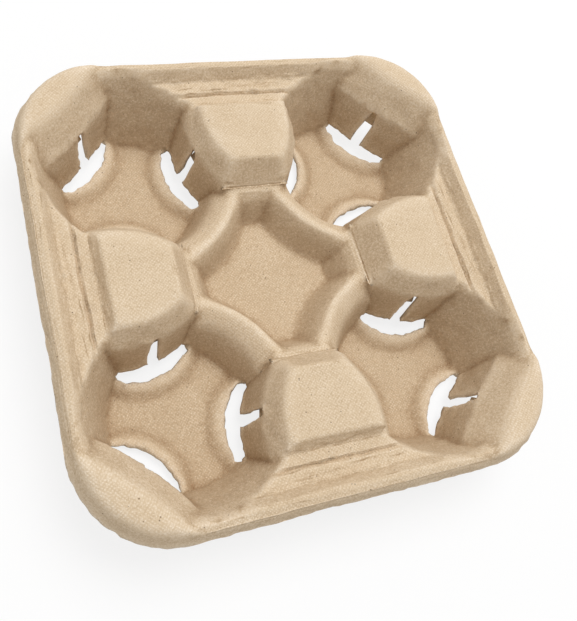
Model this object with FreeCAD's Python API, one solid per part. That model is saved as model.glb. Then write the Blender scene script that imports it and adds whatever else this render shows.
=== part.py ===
import FreeCAD, Part
import os
from math import atan2, cos, hypot, pi, radians, sin, tan

# Four-cup carrier, moulded from pulp in one piece. Millimetres, +Z up.
# The origin is the middle of the underside, on the plane that the cup floors stand on.

# Wall and overall outline
wall = 1.8
half_width = 107.5
corner_radius = 40.5

# Rim: a crest with an outer lip that turns down and flares out
lip_bottom = 35.0
lip_flare = 3.0
side_crest_height = 42.0
corner_crest_height = 45.3
crest_rounding = 2.4

# Cup wells, one in each quarter, their axes this far in from the sides
cup_margin = 52.3
cup_offset = half_width - cup_margin
floor_radius = 31.0
well_draft = 20.0
mouth_height = 41.0
mouth_slope = 62.0
mouth_rounding = 5.0

# Fingers: three in each well, which lean back as they rise
finger_count = 3
finger_foot = 25.4
finger_knee = 30.4
knee_height = 30.0
finger_edge_rounding = 4.0
finger_top_slope = 8.0
tower_finger_edge = 36.6
tower_finger_axis = 80.0
corner_finger_edge = 41.0
corner_finger_axis = 190.0

# Crescents: the floor rises in a step before each finger
crescent_axis = 40.5
crescent_crease_radius = 27.7
crescent_top_radius = 23.4
crescent_rise = 3.6

# Slot behind each crescent, and the slit that runs up the finger from it
slot_lip = 20.5
slot_end_lip = 26.2
slot_back = 29.6
slot_end_back = 30.6
slot_half_length = 17.5
finger_wall_bottom = 7.0
slit_foot_width = 5.6
slit_top_width = 3.0
slit_top = 29.4

# Towers in the middle of each side, each from near the line of the cup axes out toward the rim
tower_height = 41.0
tower_front = cup_offset - 4.7
tower_front_foot = cup_offset - 13.7
tower_front_rounding = 4.0
tower_back = half_width - 27.5
tower_back_rounding = 2.5

# Stepped land between each tower and the rim
ledge_start = half_width - 23.9
ledge_end = half_width - 19.1
ledge_height = 35.8
ledge_fall = 0.5
groove_middle = half_width - 17.9
groove_height = 34.0
rim_ledge_start = half_width - 16.5
rim_ledge_end = half_width - 10.9
rim_ledge_height = 36.3
rim_ledge_fall = 0.6
rim_ledge_rounding = 2.0
crest_inner_edge = half_width - 6.9
crest_inner_rounding = 1.6
land_half_length = cup_offset - 3.2

# Centre: a low saddle between the towers, with a dish sunk into it
saddle_height = 26.8
web_crest = 46.0
web_mouth_height = 21.5
web_rounding = 6.0
web_sweep = 58.0
dish_floor_height = 10.0
dish_floor_half = cup_offset - 24.2
dish_mouth_half = cup_offset - 18.2
dish_crest_half = cup_offset - 14.2
dish_mouth_height = 23.5
dish_rounding = 5.0
dish_web_foot = 55.0
dish_web_mouth = 50.6
dish_web_crest = 47.0

# How far a cutting solid runs past the faces that it cuts, and how far one overlaps its neighbour
clear = 20.0
overlap = 1.0

# A rounding that goes round a curve is one flat bevel, or two where it turns by more than this
bevel_turn = 50.0
# A rounding takes up at most this share of each side, and one with less reach is left sharp
rounding_share = 0.45
least_reach = 0.02


def grown(points, growth):
    """Moves each side of an anticlockwise outline out by growth, and leaves moved corners sharp."""
    if not growth:
        return points
    moved = []
    count = len(points)
    for i in range(count):
        x0, y0, _ = points[i - 1]
        x1, y1, _ = points[i]
        x2, y2, _ = points[(i + 1) % count]
        before = atan2(y1 - y0, x1 - x0)
        turn = (atan2(y2 - y1, x2 - x1) - before + pi) % (2 * pi) - pi
        middle = before + turn / 2
        reach = growth / cos(turn / 2)
        moved.append((x1 + reach * sin(middle), y1 - reach * cos(middle), 0))
    return moved


def rounded_corner(before, corner, after, bevelled):
    """Points round one corner: the start, middle and end of its rounding, or the sharp corner."""
    x, y, radius = corner
    back = hypot(before[0] - x, before[1] - y)
    ahead = hypot(after[0] - x, after[1] - y)
    ax, ay = (before[0] - x) / back, (before[1] - y) / back
    bx, by = (after[0] - x) / ahead, (after[1] - y) / ahead
    half_angle = atan2(abs(ax * by - ay * bx), ax * bx + ay * by) / 2
    reach = min(radius / tan(half_angle), rounding_share * back, rounding_share * ahead)
    if reach < least_reach:
        return [(x, y)]
    start = (x + reach * ax, y + reach * ay)
    end = (x + reach * bx, y + reach * by)
    if bevelled and pi - 2 * half_angle < radians(bevel_turn):
        return [start, end]
    depth = (reach / cos(half_angle) - reach * tan(half_angle)) / hypot(ax + bx, ay + by)
    return [start, (x + depth * (ax + bx), y + depth * (ay + by)), end]


def wire(points, place, bevelled=False):
    """Joins the points by straight lines, with an arc or flat bevels wherever a radius is given."""
    count = len(points)
    corners = []
    for i in range(count):
        rounding = rounded_corner(points[i - 1], points[i], points[(i + 1) % count], bevelled)
        corners.append([place(*point) for point in rounding])
    edges = []
    for i in range(count):
        corner = corners[i]
        if len(corner) == 3 and not bevelled:
            edges.append(Part.Arc(*corner).toShape())
        else:
            edges += [Part.LineSegment(a, b).toShape() for a, b in zip(corner, corner[1:])]
        edges.append(Part.LineSegment(corner[-1], corners[(i + 1) % count][0]).toShape())
    return Part.Wire(edges)


def turned(solid, angle):
    """Returns a copy turned about the Z axis."""
    copy = solid.copy()
    copy.rotate(FreeCAD.Vector(0, 0, 0), FreeCAD.Vector(0, 0, 1), angle)
    return copy


def four_of(solid):
    """Returns the solid in all four quarters of the carrier."""
    return [turned(solid, 90 * quarter) for quarter in range(4)]


def revolved(points, growth=0.0, sweep=360.0):
    """Revolves a half section (radius, height, rounding), even on both sides of -X."""
    section = wire(grown(points, growth), lambda r, z: FreeCAD.Vector(max(r, 0.0), 0, z), True)
    solid = Part.Face(section).revolve(FreeCAD.Vector(0, 0, 0), FreeCAD.Vector(0, 0, 1), sweep)
    return turned(solid, 180 - sweep / 2)


def drawn_along_x(points, growth, half_length):
    """Draws a section (y, height, rounding) along X, even on both sides of the origin."""
    section = wire(grown(points, growth), lambda y, z: FreeCAD.Vector(-half_length, y, z))
    return Part.Face(section).extrude(FreeCAD.Vector(2 * half_length, 0, 0))


def in_well(solid, angle, distance):
    """Moves a solid out from the axis of the +X+Y well, with its -X side toward that axis."""
    copy = turned(solid, angle)
    way = FreeCAD.Vector(cos(radians(angle)), sin(radians(angle)), 0)
    copy.translate(way * distance + FreeCAD.Vector(cup_offset, cup_offset, 0))
    return copy


def well_radius(height):
    """Radius of the well's wall at a height, on its draft."""
    return floor_radius + (height - wall) * tan(radians(well_draft))


def well_space(growth):
    """The round space of one well, from its floor out past the rim."""
    mouth = well_radius(mouth_height)
    top = mouth_height + clear
    section = [
        (0, wall, 0),
        (floor_radius, wall, 0),
        (mouth, mouth_height, mouth_rounding),
        (mouth + clear * tan(radians(mouth_slope)), top, 0),
        (0, top, 0),
    ]
    return in_well(revolved(section, growth), 0, 0)


def web_mouth_space(growth):
    """Opens the well toward the middle of the carrier, over the low crest of the web."""
    top = saddle_height + overlap
    section = [
        (0, wall, 0),
        (floor_radius, wall, 0),
        (well_radius(web_mouth_height), web_mouth_height, web_rounding),
        (web_crest, saddle_height, 0),
        (web_crest, top, 0),
        (0, top, 0),
    ]
    return in_well(turned(revolved(section, growth, web_sweep), 180), 225, 0)


def finger(edge, axis, top, growth):
    """A finger's body: it leans back up to the knee, then more, and is bevelled over at its top."""
    draft = (finger_knee - finger_foot) / knee_height
    edge_height = top - finger_edge_rounding * tan(radians(finger_top_slope))
    crown = edge_height + (axis - edge) * tan(radians(finger_top_slope))
    section = [
        (0, -clear, 0),
        (axis - finger_foot + draft * clear, -clear, 0),
        (axis - finger_knee, knee_height, 0),
        (axis - edge, edge_height, finger_edge_rounding),
        (0, crown, 0),
    ]
    return revolved(section, growth)


def tower_finger(growth):
    """The finger that a tower stands on, with its front curved round the tower."""
    return finger(tower_finger_edge, tower_finger_axis, tower_height, growth)


def corner_finger(growth):
    """The finger in the corner of the carrier, with an almost straight front."""
    return finger(corner_finger_edge, corner_finger_axis, corner_crest_height, growth)


def crescent(growth):
    """The raised part of the floor, a step before a finger."""
    top = wall + crescent_rise
    spread = (crescent_crease_radius - crescent_top_radius) / crescent_rise
    section = [
        (0, -clear, 0),
        (crescent_crease_radius + spread * (wall + clear), -clear, 0),
        (crescent_top_radius, top, 0),
        (0, top, 0),
    ]
    return revolved(section, growth)


def finger_angles():
    """Directions of the fingers from the axis of the +X+Y well: the corner's, then the towers'."""
    return [45 + 360 / finger_count * i for i in range(finger_count)]


def well(growth):
    """The space that one cup drops into, with its fingers and crescents left standing."""
    corner_angle, *tower_angles = finger_angles()
    space = well_space(growth).fuse(web_mouth_space(growth))
    standing = [in_well(corner_finger(-growth), corner_angle, corner_finger_axis)]
    for angle in tower_angles:
        standing.append(in_well(tower_finger(-growth), angle, tower_finger_axis))
    for angle in finger_angles():
        standing.append(in_well(crescent(-growth), angle, crescent_axis))
    return space.cut(standing)


def saddle_space(growth):
    """The open middle between the four towers, down to the saddle."""
    top = tower_height + clear
    far = tower_back
    rise = tower_height + (far - tower_front) * tan(radians(finger_top_slope))
    section = [
        (-tower_front_foot, saddle_height, tower_front_rounding),
        (tower_front_foot, saddle_height, tower_front_rounding),
        (tower_front, tower_height, tower_front_rounding),
        (far, rise, 0),
        (far, top, 0),
        (-far, top, 0),
        (-far, rise, 0),
        (-tower_front, tower_height, tower_front_rounding),
    ]
    valley = drawn_along_x(section, growth, half_width)
    return valley.common(turned(valley, 90))


def land_space(growth):
    """What lies above one tower's flat top and the stepped land behind it."""
    top = side_crest_height + clear
    outside = half_width + clear
    steps = [
        (ledge_end, ledge_height - ledge_fall, 0),
        (groove_middle, groove_height, 0),
        (rim_ledge_start, rim_ledge_height - rim_ledge_fall, 0),
    ]
    if growth:
        steps = [(groove_middle, groove_height, 0)]
    section = [
        (tower_front_foot, tower_height, 0),
        (tower_back, tower_height, tower_back_rounding),
        (ledge_start, ledge_height, tower_back_rounding),
        *steps,
        (rim_ledge_end, rim_ledge_height, rim_ledge_rounding),
        (crest_inner_edge, side_crest_height, crest_inner_rounding),
        (outside, side_crest_height + clear * tan(radians(finger_top_slope)), 0),
        (outside, top, 0),
        (tower_front_foot, top, 0),
    ]
    return drawn_along_x(section, growth, land_half_length)


def dish_space(growth):
    """The dish in the middle: straight toward the towers, hollowed by the round webs of the wells."""
    top = saddle_height + overlap
    section = [
        (-dish_floor_half, dish_floor_height, 0),
        (dish_floor_half, dish_floor_height, 0),
        (dish_mouth_half, dish_mouth_height, dish_rounding),
        (dish_crest_half, top, 0),
        (-dish_crest_half, top, 0),
        (-dish_mouth_half, dish_mouth_height, dish_rounding),
    ]
    trough = drawn_along_x(section, growth, half_width)
    spread = (dish_web_foot - dish_web_mouth) / (dish_mouth_height - dish_floor_height)
    web = [
        (0, -clear, 0),
        (dish_web_foot + spread * (dish_floor_height + clear), -clear, 0),
        (dish_web_mouth, dish_mouth_height, web_rounding),
        (dish_web_crest, top, 0),
        (0, top + overlap, 0),
    ]
    round_web = in_well(revolved(web, -growth), 0, 0)
    return trough.common(turned(trough, 90)).cut(four_of(round_web))


def rounded_square(half, radius, height):
    """A level square outline with round corners."""
    corners = [(half, half, radius), (-half, half, radius), (-half, -half, radius), (half, -half, radius)]
    return wire(corners, lambda x, y: FreeCAD.Vector(x, y, height))


def block(bottom, top, growth):
    """The body inside the flared lip, with its top edge bevelled over into the crest."""
    slope = lip_flare / (side_crest_height - lip_bottom)
    steps = [(bottom, 0), (top + growth, 0)]
    if not growth:
        bevels = [radians(45 * bevel) for bevel in range(3)]
        steps[1:] = [
            (top - crest_rounding * (1 - sin(turn)), crest_rounding * (1 - cos(turn)))
            for turn in bevels
        ]
    outlines = []
    for height, rounding_inset in steps:
        inset = (height - lip_bottom) * slope + rounding_inset - growth
        outlines.append(rounded_square(half_width - inset, corner_radius - inset, height))
    return Part.makeLoft(outlines, True, True)


def filled(bottom, growth):
    """The carrier's outside as a filled body: the side crests with a higher cap at each corner."""
    high_block = block(bottom, corner_crest_height, growth)
    corner = in_well(corner_finger(growth), finger_angles()[0], corner_finger_axis)
    cap = high_block.common(corner)
    return block(bottom, side_crest_height, growth).fuse(four_of(cap))


def spaces(growth):
    """Every space that opens upward, in all four quarters."""
    cuts = four_of(well(growth)) + four_of(land_space(growth))
    return cuts + [saddle_space(growth), dish_space(growth)]


def slot():
    """Cuts the bottom of a finger's wall away, behind the crescent's curved lip."""
    lip = [FreeCAD.Vector(slot_end_lip, side * slot_half_length, -clear) for side in (-1, 1)]
    back = [FreeCAD.Vector(slot_end_back, side * slot_half_length, -clear) for side in (-1, 1)]
    edges = [
        Part.Arc(lip[0], FreeCAD.Vector(slot_lip, 0, -clear), lip[1]).toShape(),
        Part.LineSegment(lip[1], back[1]).toShape(),
        Part.Arc(back[1], FreeCAD.Vector(slot_back, 0, -clear), back[0]).toShape(),
        Part.LineSegment(back[0], lip[0]).toShape(),
    ]
    outline = Part.Face(Part.Wire(edges))
    return outline.extrude(FreeCAD.Vector(0, 0, clear + finger_wall_bottom))


def slit():
    """Splits a finger's wall up its middle, from the slot to the knee, in a narrow wedge."""
    foot = slit_foot_width / 2
    tip = slit_top_width / 2
    outline = [(-foot, finger_wall_bottom), (foot, finger_wall_bottom), (tip, slit_top), (-tip, slit_top)]
    corners = [FreeCAD.Vector(slot_lip, across, height) for across, height in outline]
    wedge = Part.Face(Part.makePolygon(corners + corners[:1]))
    return wedge.extrude(FreeCAD.Vector(tower_finger_edge - slot_lip, 0, 0))


def openings():
    """The slots and slits of the three fingers of one well."""
    cuts = []
    for angle in finger_angles():
        cuts += [in_well(slot(), angle, 0), in_well(slit(), angle, 0)]
    return cuts


def cup_carrier():
    """The moulded shell: the filled outside less the same body drawn in by the wall."""
    reach = half_width + clear
    footing = half_width - lip_flare
    plinth = Part.makeBox(2 * footing, 2 * footing, lip_bottom, FreeCAD.Vector(-footing, -footing, 0))
    below = Part.makeBox(
        2 * reach, 2 * reach, lip_bottom + clear, FreeCAD.Vector(-reach, -reach, -clear))
    outer = filled(lip_bottom, 0).fuse(plinth).cut(spaces(0))
    inner = filled(lip_bottom - overlap, -wall).fuse(below).cut(spaces(wall))
    shell = outer.cut(inner)
    for cut in openings():
        shell = shell.cut(four_of(cut))
    return shell.removeSplitter()


os.makedirs("parts", exist_ok=True)
carrier = cup_carrier()
carrier.exportStep("parts/cup_carrier.step")
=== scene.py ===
"""A moulded pulp carrier for four takeaway cups, on a pale floor under soft studio light.

The carrier keeps the shape of the CAD node. Its mesh is made finer, its sharp edges are softened
as wet pulp leaves them, its walls are a little uneven, and the cut edges of its slots are torn.
Small flaps hang behind its slits. One procedural pulp finish covers it, with painted shade in
hollow creases, on steep walls and low in the wells, and painted highlight on raised creases.
"""

import logging
import math
from dataclasses import dataclass
from typing import Any, Union

import bmesh
import bpy
import numpy as np
from mathutils import Matrix, Vector, noise


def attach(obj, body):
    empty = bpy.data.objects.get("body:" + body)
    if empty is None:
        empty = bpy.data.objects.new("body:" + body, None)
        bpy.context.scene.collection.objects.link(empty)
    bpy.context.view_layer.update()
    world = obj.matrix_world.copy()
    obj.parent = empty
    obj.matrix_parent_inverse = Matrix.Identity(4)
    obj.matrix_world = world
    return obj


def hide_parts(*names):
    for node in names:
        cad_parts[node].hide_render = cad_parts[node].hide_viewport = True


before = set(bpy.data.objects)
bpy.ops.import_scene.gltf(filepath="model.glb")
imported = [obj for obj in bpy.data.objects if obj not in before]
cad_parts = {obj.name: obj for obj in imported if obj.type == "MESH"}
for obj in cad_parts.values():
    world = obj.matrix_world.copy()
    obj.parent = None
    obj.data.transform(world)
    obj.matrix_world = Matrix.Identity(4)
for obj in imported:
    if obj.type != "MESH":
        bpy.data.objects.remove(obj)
log = logging.getLogger("carrier_scene")

MM = 0.001
QUARTER_TURN = math.pi / 2
WHITE = (1.0, 1.0, 1.0, 1.0)
# How far a cup's axis is from the carrier's middle, along each side.
CUP_OFFSET = 55.2 * MM
# The directions of a cup's three fingers from its axis in the first quarter, in degrees.
FINGER_TURNS = (45, 165, 285)
# The vertex attribute that is above 0 in hollow creases and below 0 on raised ones.
# The pulp finish paints shade where this is above 0 and a highlight where it is below 0.
CREASE_SHADING = "hollow"

Number = Union[float, "Value"]
Colour = tuple[float, float, float]


def linear(red: int, green: int, blue: int) -> Colour:
    """Gives the linear colour of an 8-bit screen colour.

    Args:
        red: Red, from 0 to 255.
        green: Green, from 0 to 255.
        blue: Blue, from 0 to 255.

    Returns:
        The three linear values.
    """
    def channel(value: float) -> float:
        """Undoes the screen's gamma for one channel."""
        return value / 12.92 if value <= 0.04045 else ((value + 0.055) / 1.055) ** 2.4

    return channel(red / 255), channel(green / 255), channel(blue / 255)


def dressed(name: str, shape: bmesh.types.BMesh, finish: bpy.types.Material) -> bpy.types.Object:
    """Puts a finished shape into the scene as an object with one material.

    Args:
        name: The object's and the mesh's name.
        shape: The shape, which is freed.
        finish: The material.

    Returns:
        The object.
    """
    mesh = bpy.data.meshes.new(name)
    shape.to_mesh(mesh)
    shape.free()
    mesh.materials.append(finish)
    made = bpy.data.objects.new(name, mesh)
    bpy.context.scene.collection.objects.link(made)
    return made


class Value:
    """A number that changes over a surface: one output socket, with Python's operators."""

    def __init__(self, tree: "ShaderTree", socket: bpy.types.NodeSocket) -> None:
        """Wraps a socket of a tree.

        Args:
            tree: The tree that the socket is in.
            socket: The output socket.
        """
        self.tree = tree
        self.socket = socket

    def maths(self, operation: str, *others: Number, clamp: bool = False) -> "Value":
        """Adds a Math node whose first input is this value.

        Args:
            operation: The Math node's operation.
            others: Its other inputs.
            clamp: Whether the result is held between 0 and 1.

        Returns:
            The node's output.
        """
        settings = {"operation": operation, "use_clamp": clamp}
        return self.tree.node("ShaderNodeMath", settings, dict(enumerate((self, *others))))

    def flipped(self, operation: str, other: Number) -> "Value":
        """Adds a Math node whose second input is this value."""
        settings = {"operation": operation}
        return self.tree.node("ShaderNodeMath", settings, {0: other, 1: self})

    def __add__(self, other: Number) -> "Value":
        """Adds."""
        return self.maths("ADD", other)

    def __radd__(self, other: Number) -> "Value":
        """Adds to a plain number."""
        return self.maths("ADD", other)

    def __sub__(self, other: Number) -> "Value":
        """Subtracts."""
        return self.maths("SUBTRACT", other)

    def __rsub__(self, other: Number) -> "Value":
        """Subtracts from a plain number."""
        return self.flipped("SUBTRACT", other)

    def __mul__(self, other: Number) -> "Value":
        """Multiplies."""
        return self.maths("MULTIPLY", other)

    def __rmul__(self, other: Number) -> "Value":
        """Multiplies a plain number."""
        return self.maths("MULTIPLY", other)

    def held(self) -> "Value":
        """Holds the value between 0 and 1."""
        return self.maths("ADD", 0.0, clamp=True)

    def between(self, low: float, high: float) -> "Value":
        """Rises smoothly from 0 at low to 1 at high.

        Args:
            low: Where the rise starts.
            high: Where it ends; below low, the value falls instead.

        Returns:
            The smooth step.
        """
        inputs = {"Value": self, "From Min": low, "From Max": high}
        return self.tree.node("ShaderNodeMapRange", {"interpolation_type": "SMOOTHSTEP"}, inputs)


@dataclass(frozen=True)
class Grain:
    """A noise over the pulp: cells in a millimetre, number of finer layers, their strength."""

    scale: float
    detail: float = 2.0
    rough: float = 0.5


@dataclass(frozen=True)
class Tint:
    """How strongly each cause draws the pulp's colour toward a tint, on top of a base share."""

    base: float = 0.0
    blotch: float = 0.0
    screen: float = 0.0
    # hollow: painted shade in hollow creases and painted highlight on raised ones.
    hollow: float = 0.0
    grain: float = 0.0
    felt: float = 0.0
    # steep: painted shade on steep walls.
    steep: float = 0.0
    # low: painted shade, darker towards the wells' floors.
    low: float = 0.0

    def share(self, causes: dict[str, Value]) -> Value:
        """Adds the causes up, each at its strength.

        Args:
            causes: The causes, by the names of the fields above.

        Returns:
            The tint's share, held between 0 and 1.
        """
        total = self.base
        for name, cause in causes.items():
            total = total + cause * getattr(self, name)
        return total.held()


class ShaderTree:
    """The emptied node tree of a material or the world, with one method that adds nodes."""

    def __init__(self, owner: Union[bpy.types.Material, bpy.types.World]) -> None:
        """Empties the tree.

        Args:
            owner: The material or world that the tree belongs to.
        """
        owner.use_nodes = True
        self.nodes = owner.node_tree.nodes
        self.links = owner.node_tree.links
        self.nodes.clear()

    def add(
        self, kind: str, settings: dict[str, Any], inputs: dict[Any, Any]
    ) -> bpy.types.Node:
        """Adds a node, its settings first, then the values and links of its sockets.

        Args:
            kind: The node's type.
            settings: Its own settings.
            inputs: Values or links by socket name or number.

        Returns:
            The node.
        """
        node = self.nodes.new(kind)
        for name, setting in settings.items():
            setattr(node, name, setting)
        for name, given in inputs.items():
            if isinstance(given, Value):
                self.links.new(given.socket, node.inputs[name])
            else:
                node.inputs[name].default_value = given
        return node

    def node(
        self, kind: str, settings: dict[str, Any], inputs: dict[Any, Any], output: Any = 0
    ) -> Value:
        """Adds a node and wraps one of its outputs, by name or number."""
        return Value(self, self.add(kind, settings, inputs).outputs[output])

    def mix(self, share: Number, first: Any, second: Any) -> Value:
        """Mixes two colours.

        Args:
            share: How much of the second shows.
            first: The first colour, a value or three numbers.
            second: The second colour.

        Returns:
            The mixed colour.
        """
        inputs = {
            0: share,
            6: first if isinstance(first, Value) else (*first, 1.0),
            7: second if isinstance(second, Value) else (*second, 1.0),
        }
        return self.node("ShaderNodeMix", {"data_type": "RGBA", "clamp_factor": True}, inputs, 2)

    def noise(self, place: Value, grain: Grain, output: Any = 0) -> Value:
        """Adds a noise about 0.5.

        Args:
            place: The coordinates.
            grain: The noise's scale and layers.
            output: The name or number of the output that is wanted.

        Returns:
            The noise.
        """
        inputs = {
            "Vector": place, "Scale": grain.scale, "Detail": grain.detail,
            "Roughness": grain.rough}
        return self.node("ShaderNodeTexNoise", {}, inputs, output)

    def dot(self, first: Value, second: tuple[float, float, float]) -> Value:
        """Gives the dot product of a vector and a fixed one."""
        inputs = {0: first, 1: second}
        return self.node("ShaderNodeVectorMath", {"operation": "DOT_PRODUCT"}, inputs, "Value")


@dataclass(frozen=True)
class PulpFinish:
    """Unbleached pulp, felted on a fine wire screen, with painted shade and highlight. Lengths are
    in millimetres.
    """

    name: str = "pulp"
    tone: Colour = linear(205, 183, 153)
    # Pale tone; it also serves as painted highlight on raised creases.
    light: Colour = linear(240, 226, 207)
    # Dark tone; it also serves as painted shade in hollow creases, on steep walls and low in the
    # wells.
    deep: Colour = linear(128, 92, 54)
    fleck_dark: Colour = linear(74, 50, 34)
    roughness: float = 0.94
    specular: float = 0.18
    screen_pitch: float = 1.05
    screen_depth: float = 0.07
    screen_turn: float = 45.0
    screen_rise: float = 0.35
    screen_mean: float = 0.25
    screen_sway: float = 1.6
    screen_sway_grain: Grain = Grain(0.12, 1.0)
    level_from: float = 0.45
    level_full: float = 0.9
    felt_depth: float = 0.16
    felt_coarse: Grain = Grain(0.5, 3.0, 0.6)
    felt_coarse_share: float = 0.45
    felt_fine: Grain = Grain(1.5, 3.0, 0.7)
    felt_fine_share: float = 0.55
    blotch: Grain = Grain(1 / 18.0, 3.0, 0.6)
    grain: Grain = Grain(1.1, 2.0, 0.8)
    noise_mean: float = 0.5
    # Painted shade: the colour darkens from the first height down to the second, in millimetres.
    low_shade_from: float = 38.0
    low_shade_full: float = 4.0
    # The hollow, steep and low causes are painted light: shade in hollow creases, on steep walls and
    # low in the wells, highlight on raised creases. The other causes are the pulp's own tone,
    # blotches, fibres and screen imprint.
    paler: Tint = Tint(
        base=0.05, blotch=0.4, screen=0.4, hollow=-0.4, grain=1.6, steep=-0.05, low=-0.1)
    darker: Tint = Tint(
        blotch=-0.25, screen=-0.15, hollow=0.6, grain=-0.9, felt=-0.9, steep=0.1, low=0.14)
    fleck_size: float = 2.4
    fleck_edge: float = 0.16
    fleck_core: float = 0.07
    fleck_spread: Grain = Grain(0.35, 1.0)
    fleck_from: float = 0.56
    fleck_full: float = 0.66
    fleck_share: float = 0.8

    def build(self) -> bpy.types.Material:
        """Makes the material.

        Returns:
            The material.
        """
        material = bpy.data.materials.new(self.name)
        tree = ShaderTree(material)
        place = self.place(tree)
        screen = self.screen(tree, place)
        felt = self.felt(tree, place)
        colour = self.colour(tree, place, screen, felt)
        height = screen * self.screen_depth + felt * self.felt_depth
        bump = tree.node(
            "ShaderNodeBump", {}, {"Strength": 1.0, "Distance": MM, "Height": height})
        shader = tree.node(
            "ShaderNodeBsdfPrincipled", {},
            {"Base Color": colour, "Roughness": self.roughness,
             "Specular IOR Level": self.specular, "Normal": bump})
        tree.add("ShaderNodeOutputMaterial", {}, {"Surface": shader})
        return material

    def place(self, tree: ShaderTree) -> Value:
        """Gives the place on the carrier, in millimetres."""
        inputs = {0: tree.node("ShaderNodeTexCoord", {}, {}, "Object"), "Scale": 1 / MM}
        return tree.node("ShaderNodeVectorMath", {"operation": "SCALE"}, inputs)

    def wires(self, tree: ShaderTree, place: Value, across: Vector) -> Value:
        """Adds one family of the screen's wires, as a wave from 0 to 1.

        Args:
            tree: The tree.
            place: The place on the carrier.
            across: The direction across the wires.

        Returns:
            The wave.
        """
        along = tree.dot(place, across.normalized())
        return (along * (2 * math.pi / self.screen_pitch)).maths("SINE") * 0.5 + 0.5

    def screen(self, tree: ShaderTree, place: Value) -> Value:
        """Adds the imprint of the wire screen, which fades out on steep faces.

        Args:
            tree: The tree.
            place: The place on the carrier.

        Returns:
            The imprint, about its mean.
        """
        turn = math.radians(self.screen_turn)
        sway = tree.noise(place, self.screen_sway_grain, "Color")
        wobble = tree.node(
            "ShaderNodeVectorMath", {"operation": "MULTIPLY_ADD"},
            {0: sway, 1: (self.screen_sway,) * 3, 2: place})
        one_way = Vector((math.cos(turn), math.sin(turn), self.screen_rise))
        other_way = Vector((-math.sin(turn), math.cos(turn), self.screen_rise))
        crossed = self.wires(tree, wobble, one_way) * self.wires(tree, wobble, other_way)
        return (crossed - self.screen_mean) * self.level(tree) + self.screen_mean

    def level(self, tree: ShaderTree) -> Value:
        """Gives 1 on level faces and 0 on steep ones."""
        normal = tree.node("ShaderNodeNewGeometry", {}, {}, "True Normal")
        rise = tree.dot(normal, (0.0, 0.0, 1.0)).maths("ABSOLUTE")
        return rise.between(self.level_from, self.level_full)

    def felt(self, tree: ShaderTree, place: Value) -> Value:
        """Adds the matted fibres.

        Args:
            tree: The tree.
            place: The place on the carrier.

        Returns:
            Their height, from 0 to 1.
        """
        coarse = tree.noise(place, self.felt_coarse)
        fine = tree.noise(place, self.felt_fine)
        return coarse * self.felt_coarse_share + fine * self.felt_fine_share

    def colour(self, tree: ShaderTree, place: Value, screen: Value, felt: Value) -> Value:
        """Adds the colour: pulp tone, painted highlight and shade at creases, painted shade on steep
        walls and in the wells, flecks.

        Args:
            tree: The tree.
            place: The place on the carrier.
            screen: The imprint of the screen.
            felt: The matted fibres.

        Returns:
            The colour.
        """
        height = tree.node("ShaderNodeSeparateXYZ", {}, {0: place}, "Z")
        causes = {
            "blotch": tree.noise(place, self.blotch) - self.noise_mean,
            "screen": screen - self.screen_mean,
            # Painted shade in hollow creases and painted highlight on raised ones.
            "hollow": tree.node(
                "ShaderNodeAttribute", {"attribute_name": CREASE_SHADING}, {}, "Fac"),
            "grain": tree.noise(place, self.grain) - self.noise_mean,
            "felt": felt - self.noise_mean,
            # Painted shade on steep walls.
            "steep": 1.0 - self.level(tree),
            # Painted shade, darker towards the wells' floors.
            "low": height.between(self.low_shade_from, self.low_shade_full),
        }
        colour = tree.mix(self.paler.share(causes), self.tone, self.light)
        colour = tree.mix(self.darker.share(causes), colour, self.deep)
        cells = tree.node(
            "ShaderNodeTexVoronoi", {}, {"Vector": place, "Scale": 1 / self.fleck_size})
        spread = tree.noise(place, self.fleck_spread)
        fleck = cells.between(self.fleck_edge, self.fleck_core)
        fleck = fleck * spread.between(self.fleck_from, self.fleck_full)
        return tree.mix(fleck * self.fleck_share, colour, self.fleck_dark)


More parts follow.
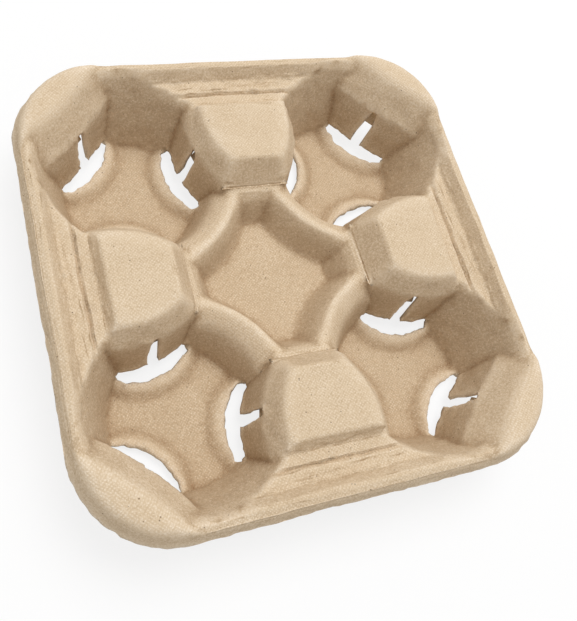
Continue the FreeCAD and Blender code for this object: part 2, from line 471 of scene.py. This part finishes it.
@dataclass
class CarrierShell:
    """The moulded shell: the CAD shape in a finer mesh, softened and a little uneven. In metres."""

    node: str = "cup_carrier"
    body: str = "root"
    seed: int = 1796010785
    weld: float = 0.6 * MM
    crease_edge: float = 2.0 * MM
    top_edge: float = 4.0 * MM
    under_edge: float = 12.0 * MM
    crease_angle: float = 14.0
    seen_tilt: float = -0.05
    divide_passes: int = 6
    soften_passes: int = 4
    soften_step: float = 0.5
    upper_tilt: float = -0.1
    middle_passes: int = 10
    middle_half: float = 44.0 * MM
    middle_diagonal: float = 1.4
    middle_bottom: float = 6.0 * MM
    middle_top: float = 31.0 * MM
    sway_size: float = 42.0 * MM
    sway: float = 0.7 * MM
    dent_size: float = 9.0 * MM
    dent: float = 0.22 * MM
    grain_size: float = 3.0 * MM
    grain: float = 0.09 * MM
    lip_top: float = 38.0 * MM
    lip_in: float = 60.0 * MM
    lip_tear_size: float = 4.0 * MM
    lip_tear: float = 0.5 * MM
    tear_size: float = 3.2 * MM
    tear: float = 0.9 * MM
    slit_tear: float = 0.6
    cup_offset: float = CUP_OFFSET
    slot_near: float = 19.5 * MM
    slot_far: float = 38.0 * MM
    slot_half: float = 19.0 * MM
    slot_top: float = 10.0 * MM
    slit_half: float = 4.0 * MM
    slit_top: float = 31.0 * MM
    # Painted crease shade and highlight: full at this crease angle, skipped below this share, then
    # spread and strengthened.
    full_crease: float = 50.0
    least_crease: float = 0.25
    spread_passes: int = 4
    spread_gain: float = 1.7

    def build(self, finish: bpy.types.Material) -> bpy.types.Object:
        """Makes the shell, lets it stand for the CAD node and dresses it.

        Args:
            finish: The pulp material.

        Returns:
            The shell's object.
        """
        shape = bmesh.new()
        shape.from_mesh(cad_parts[self.node].data)
        bmesh.ops.remove_doubles(shape, verts=shape.verts, dist=self.weld)
        self.divide(shape)
        self.mark_crease_shading(shape)
        self.soften(shape)
        self.warp(shape)
        shell = dressed("pulp_shell", shape, finish)
        shell.data.shade_smooth()
        self.spread_crease_shading(shell.data)
        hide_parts(self.node)
        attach(shell, self.body)
        return shell

    def longest(self, edge: bmesh.types.BMEdge, creased: set[bmesh.types.BMVert]) -> float:
        """Gives the length that an edge may have: short at creases that are seen from above.

        Args:
            edge: The edge.
            creased: The vertices that lie on creases.

        Returns:
            The length.
        """
        if not any(face.normal.z > self.seen_tilt for face in edge.link_faces):
            return self.under_edge
        return self.crease_edge if creased.intersection(edge.verts) else self.top_edge

    def divide(self, shape: bmesh.types.BMesh) -> None:
        """Halves long edges, in a few passes.

        Args:
            shape: The mesh to divide.
        """
        sharp = math.radians(self.crease_angle)
        for _ in range(self.divide_passes):
            shape.normal_update()
            creases = [edge for edge in shape.edges if edge.calc_face_angle(0.0) > sharp]
            creased = {vert for edge in creases for vert in edge.verts}
            long = [edge for edge in shape.edges if edge.calc_length() > self.longest(edge, creased)]
            bmesh.ops.subdivide_edges(shape, edges=long, cuts=1)
            split = [face for face in shape.faces if len(face.verts) > 3]
            bmesh.ops.triangulate(shape, faces=split)

    def soften(self, shape: bmesh.types.BMesh) -> None:
        """Draws the sharp edges of the upper skin back into soft ones, most in the middle.

        Args:
            shape: The mesh to soften.
        """
        shape.normal_update()
        upper = [vert for vert in shape.verts if vert.normal.z > self.upper_tilt]
        middle = [vert for vert in upper if self.in_middle(vert.co)]
        for verts, passes in ((upper, self.soften_passes), (middle, self.middle_passes)):
            for _ in range(passes):
                bmesh.ops.smooth_vert(
                    shape, verts=verts, factor=self.soften_step,
                    use_axis_x=True, use_axis_y=True, use_axis_z=True)

    def in_middle(self, place: Vector) -> bool:
        """Tells whether a place is on the webs and the dish, which are rounder than the rest.

        Args:
            place: The place on the carrier.

        Returns:
            Whether it is.
        """
        if not self.middle_bottom < place.z < self.middle_top:
            return False
        across, back = abs(place.x), abs(place.y)
        reach = self.middle_half * self.middle_diagonal
        return max(across, back) < self.middle_half and across + back < reach

    def warp(self, shape: bmesh.types.BMesh) -> None:
        """Moves both skins together, so that the walls are uneven but keep their thickness.

        The noise gets a fixed seed, because it otherwise follows the clock.

        Args:
            shape: The mesh to warp.
        """
        noise.seed_set(self.seed)
        for vert in shape.verts:
            place = vert.co.copy()
            vert.co += noise.noise_vector(place / self.sway_size) * self.sway
            vert.co += noise.noise_vector(place / self.dent_size) * self.dent
            vert.co += noise.noise_vector(place / self.grain_size) * self.grain
            if place.z < self.lip_top and max(abs(place.x), abs(place.y)) > self.lip_in:
                vert.co += noise.noise_vector(place / self.lip_tear_size) * self.lip_tear
            torn = self.tornness(place)
            if torn:
                vert.co += noise.noise_vector(place / self.tear_size) * self.tear * torn
            vert.co.z = max(vert.co.z, 0.0)

    def tornness(self, place: Vector) -> float:
        """Gives how torn the pulp is at a place: 1 round a slot, less at a slit, 0 elsewhere.

        Args:
            place: The place on the carrier.

        Returns:
            The share of the full tear.
        """
        if place.z > self.slit_top:
            return 0.0
        quarter = QUARTER_TURN * math.floor(math.atan2(place.y, place.x) / QUARTER_TURN)
        local = Matrix.Rotation(-quarter, 3, "Z") @ place
        from_cup = Vector((local.x - self.cup_offset, local.y - self.cup_offset))
        torn = 0.0
        for turn in FINGER_TURNS:
            angle = math.radians(turn)
            out = from_cup.x * math.cos(angle) + from_cup.y * math.sin(angle)
            across = abs(from_cup.y * math.cos(angle) - from_cup.x * math.sin(angle))
            if not self.slot_near < out < self.slot_far:
                continue
            if place.z < self.slot_top and across < self.slot_half:
                torn = 1.0
            elif across < self.slit_half:
                torn = self.slit_tear
        return torn

    def mark_crease_shading(self, shape: bmesh.types.BMesh) -> None:
        """Stores 1 on hollow creases and -1 on raised ones, less where they are shallow: painted
        crease shade and highlight.

        Args:
            shape: The mesh, still with its sharp creases.
        """
        shape.normal_update()
        layer = shape.verts.layers.float.new(CREASE_SHADING)
        for edge in shape.edges:
            depth = min(edge.calc_face_angle(0.0) / math.radians(self.full_crease), 1.0)
            if depth < self.least_crease:
                continue
            for vert in edge.verts:
                if depth > abs(vert[layer]):
                    vert[layer] = -depth if edge.is_convex else depth

    def spread_crease_shading(self, mesh: bpy.types.Mesh) -> None:
        """Spreads the painted crease shade and highlight a little way over the faces beside them.

        Args:
            mesh: The shell's mesh.
        """
        count = len(mesh.vertices)
        values = np.empty(count)
        mesh.attributes[CREASE_SHADING].data.foreach_get("value", values)
        ends = np.empty(len(mesh.edges) * 2, dtype=np.int64)
        mesh.edges.foreach_get("vertices", ends)
        first, second = ends.reshape(-1, 2).T
        degree = np.bincount(ends, minlength=count)
        for _ in range(self.spread_passes):
            around = np.bincount(first, values[second], count)
            around += np.bincount(second, values[first], count)
            values = (values + around / degree) / 2
        values = np.clip(values * self.spread_gain, -1.0, 1.0)
        mesh.attributes[CREASE_SHADING].data.foreach_set("value", values)


@dataclass
class SlitFlaps:
    """The flaps that hang behind the tops of the slits, folded in when they were cut. In metres."""

    body: str = "root"
    cup_offset: float = CUP_OFFSET
    out: float = 36.5 * MM
    height: float = 24.0 * MM
    width: float = 7.0 * MM
    length: float = 13.0 * MM
    thickness: float = 1.4 * MM
    lean: float = 38.0
    rounding: float = 0.5 * MM

    def build(self, finish: bpy.types.Material) -> bpy.types.Object:
        """Makes one flap for each finger.

        Args:
            finish: The pulp material.

        Returns:
            The flaps, as one object.
        """
        shape = bmesh.new()
        for quarter in range(4):
            for turn in FINGER_TURNS:
                self.flap(shape, quarter, math.radians(turn))
        bmesh.ops.bevel(
            shape, geom=shape.edges[:], offset=self.rounding, affect="EDGES", segments=2,
            profile=0.5, material=-1)
        flaps = dressed("slit_flaps", shape, finish)
        flaps.data.shade_smooth()
        # The flaps get no painted crease shade or highlight.
        flaps.data.attributes.new(CREASE_SHADING, "FLOAT", "POINT")
        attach(flaps, self.body)
        return flaps

    def flap(self, shape: bmesh.types.BMesh, quarter: int, angle: float) -> None:
        """Adds one flap.

        Args:
            shape: The mesh that it goes into.
            quarter: The quarter of the carrier, from 0 to 3.
            angle: The finger's direction from the axis of the cup, in the first quarter.
        """
        size = Matrix.Diagonal((self.thickness, self.width, self.length, 1.0))
        lean = Matrix.Rotation(math.radians(self.lean), 4, "Y")
        out = Matrix.Translation((self.out, 0.0, self.height))
        cup = Matrix.Translation((self.cup_offset, self.cup_offset, 0.0))
        place = (
            Matrix.Rotation(QUARTER_TURN * quarter, 4, "Z") @ cup
            @ Matrix.Rotation(angle, 4, "Z") @ out @ lean @ size)
        bmesh.ops.create_cube(shape, size=1.0, matrix=place)


@dataclass(frozen=True)
class Studio:
    """The floor, the lights and the world. Lengths are in metres."""

    floor_half: float = 4.0
    floor_tone: float = 0.85
    seen_white: float = 0.8
    sky_strength: float = 0.55
    key_place: tuple[float, float, float] = (0.3, 0.42, 1.62)
    key_size: float = 1.2
    key_power: float = 21.0

    def build(self) -> None:
        """Makes the floor, the lamp and the world."""
        self.floor()
        self.key()
        self.world()

    def floor(self) -> None:
        """Lays a white floor that keeps a faint shadow."""
        shape = bmesh.new()
        bmesh.ops.create_grid(shape, x_segments=1, y_segments=1, size=self.floor_half)
        floor = dressed("floor", shape, self.floor_finish())

    def floor_finish(self) -> bpy.types.Material:
        """Makes the floor's material, which the camera sees almost white.

        Returns:
            The material.
        """
        material = bpy.data.materials.new("floor")
        tree = ShaderTree(material)
        tone = (self.floor_tone,) * 3
        matt = tree.node("ShaderNodeBsdfDiffuse", {}, {"Color": (*tone, 1.0)})
        white = tree.node("ShaderNodeEmission", {}, {"Strength": 1.0})
        seen = tree.node("ShaderNodeLightPath", {}, {}, "Is Camera Ray")
        mixed = tree.node(
            "ShaderNodeMixShader", {}, {0: seen * self.seen_white, 1: matt, 2: white})
        tree.add("ShaderNodeOutputMaterial", {}, {"Surface": mixed})
        return material

    def key(self) -> None:
        """Hangs the large soft lamp."""
        lamp = bpy.data.lights.new("key", "AREA")
        lamp.shape = "DISK"
        lamp.size = self.key_size
        lamp.energy = self.key_power
        key = bpy.data.objects.new("key", lamp)
        key.location = self.key_place
        key.rotation_euler = (-Vector(self.key_place)).to_track_quat("-Z", "Y").to_euler()
        bpy.context.scene.collection.objects.link(key)

    def world(self) -> None:
        """Lights the scene evenly, and shows white where the floor ends."""
        world = bpy.data.worlds.new("studio")
        tree = ShaderTree(world)
        seen = tree.node("ShaderNodeLightPath", {}, {}, "Is Camera Ray")
        strength = tree.node(
            "ShaderNodeMapRange", {}, {"Value": seen, "To Min": self.sky_strength, "To Max": 1.0})
        sky = tree.node("ShaderNodeBackground", {}, {"Color": WHITE, "Strength": strength})
        tree.add("ShaderNodeOutputWorld", {}, {"Surface": sky})
        bpy.context.scene.world = world


@dataclass(frozen=True)
class PhotoCamera:
    """The camera that the photo was taken from, fitted to the carrier's corners. In metres."""

    frame_width: int = 577
    frame_height: int = 621
    focal_pixels: float = 682.07
    middle_x: float = 228.3
    middle_y: float = 295.1
    place: tuple[float, float, float] = (-0.11925, -0.10388, 0.2989)
    turn: tuple[float, float, float] = (2.749, -0.277, 0.398)
    sensor: float = 0.024
    nearest: float = 0.01

    def build(self) -> None:
        """Makes the camera and gives it to the scene."""
        lens = bpy.data.cameras.new("photo")
        lens.sensor_fit = "VERTICAL"
        lens.sensor_height = self.sensor / MM
        lens.lens = self.sensor / MM * self.focal_pixels / self.frame_height
        lens.shift_x = (self.frame_width / 2 - self.middle_x) / self.frame_height
        lens.shift_y = (self.middle_y - self.frame_height / 2) / self.frame_height
        lens.clip_start = self.nearest
        camera = bpy.data.objects.new("photo", lens)
        turn = Vector(self.turn)
        to_camera = Matrix.Rotation(turn.length, 3, turn.normalized())
        flip = Matrix.Diagonal((1.0, -1.0, -1.0))
        pose = (to_camera.transposed() @ flip).to_4x4()
        camera.matrix_world = Matrix.Translation(self.place) @ pose
        bpy.context.scene.collection.objects.link(camera)
        bpy.context.scene.camera = camera


def main() -> None:
    """Builds the scene and reports each piece."""
    logging.basicConfig(level=logging.INFO, format="%(name)s: %(message)s")
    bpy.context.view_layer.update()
    PhotoCamera().build()
    Studio().build()
    bpy.context.scene.view_settings.view_transform = "Standard"
    finish = PulpFinish().build()
    shell = CarrierShell().build(finish)
    flaps = SlitFlaps().build(finish)
    for piece in (shell, flaps):
        log.info("%s has %d faces", piece.name, len(piece.data.polygons))


if __name__ == "__main__":
    main()
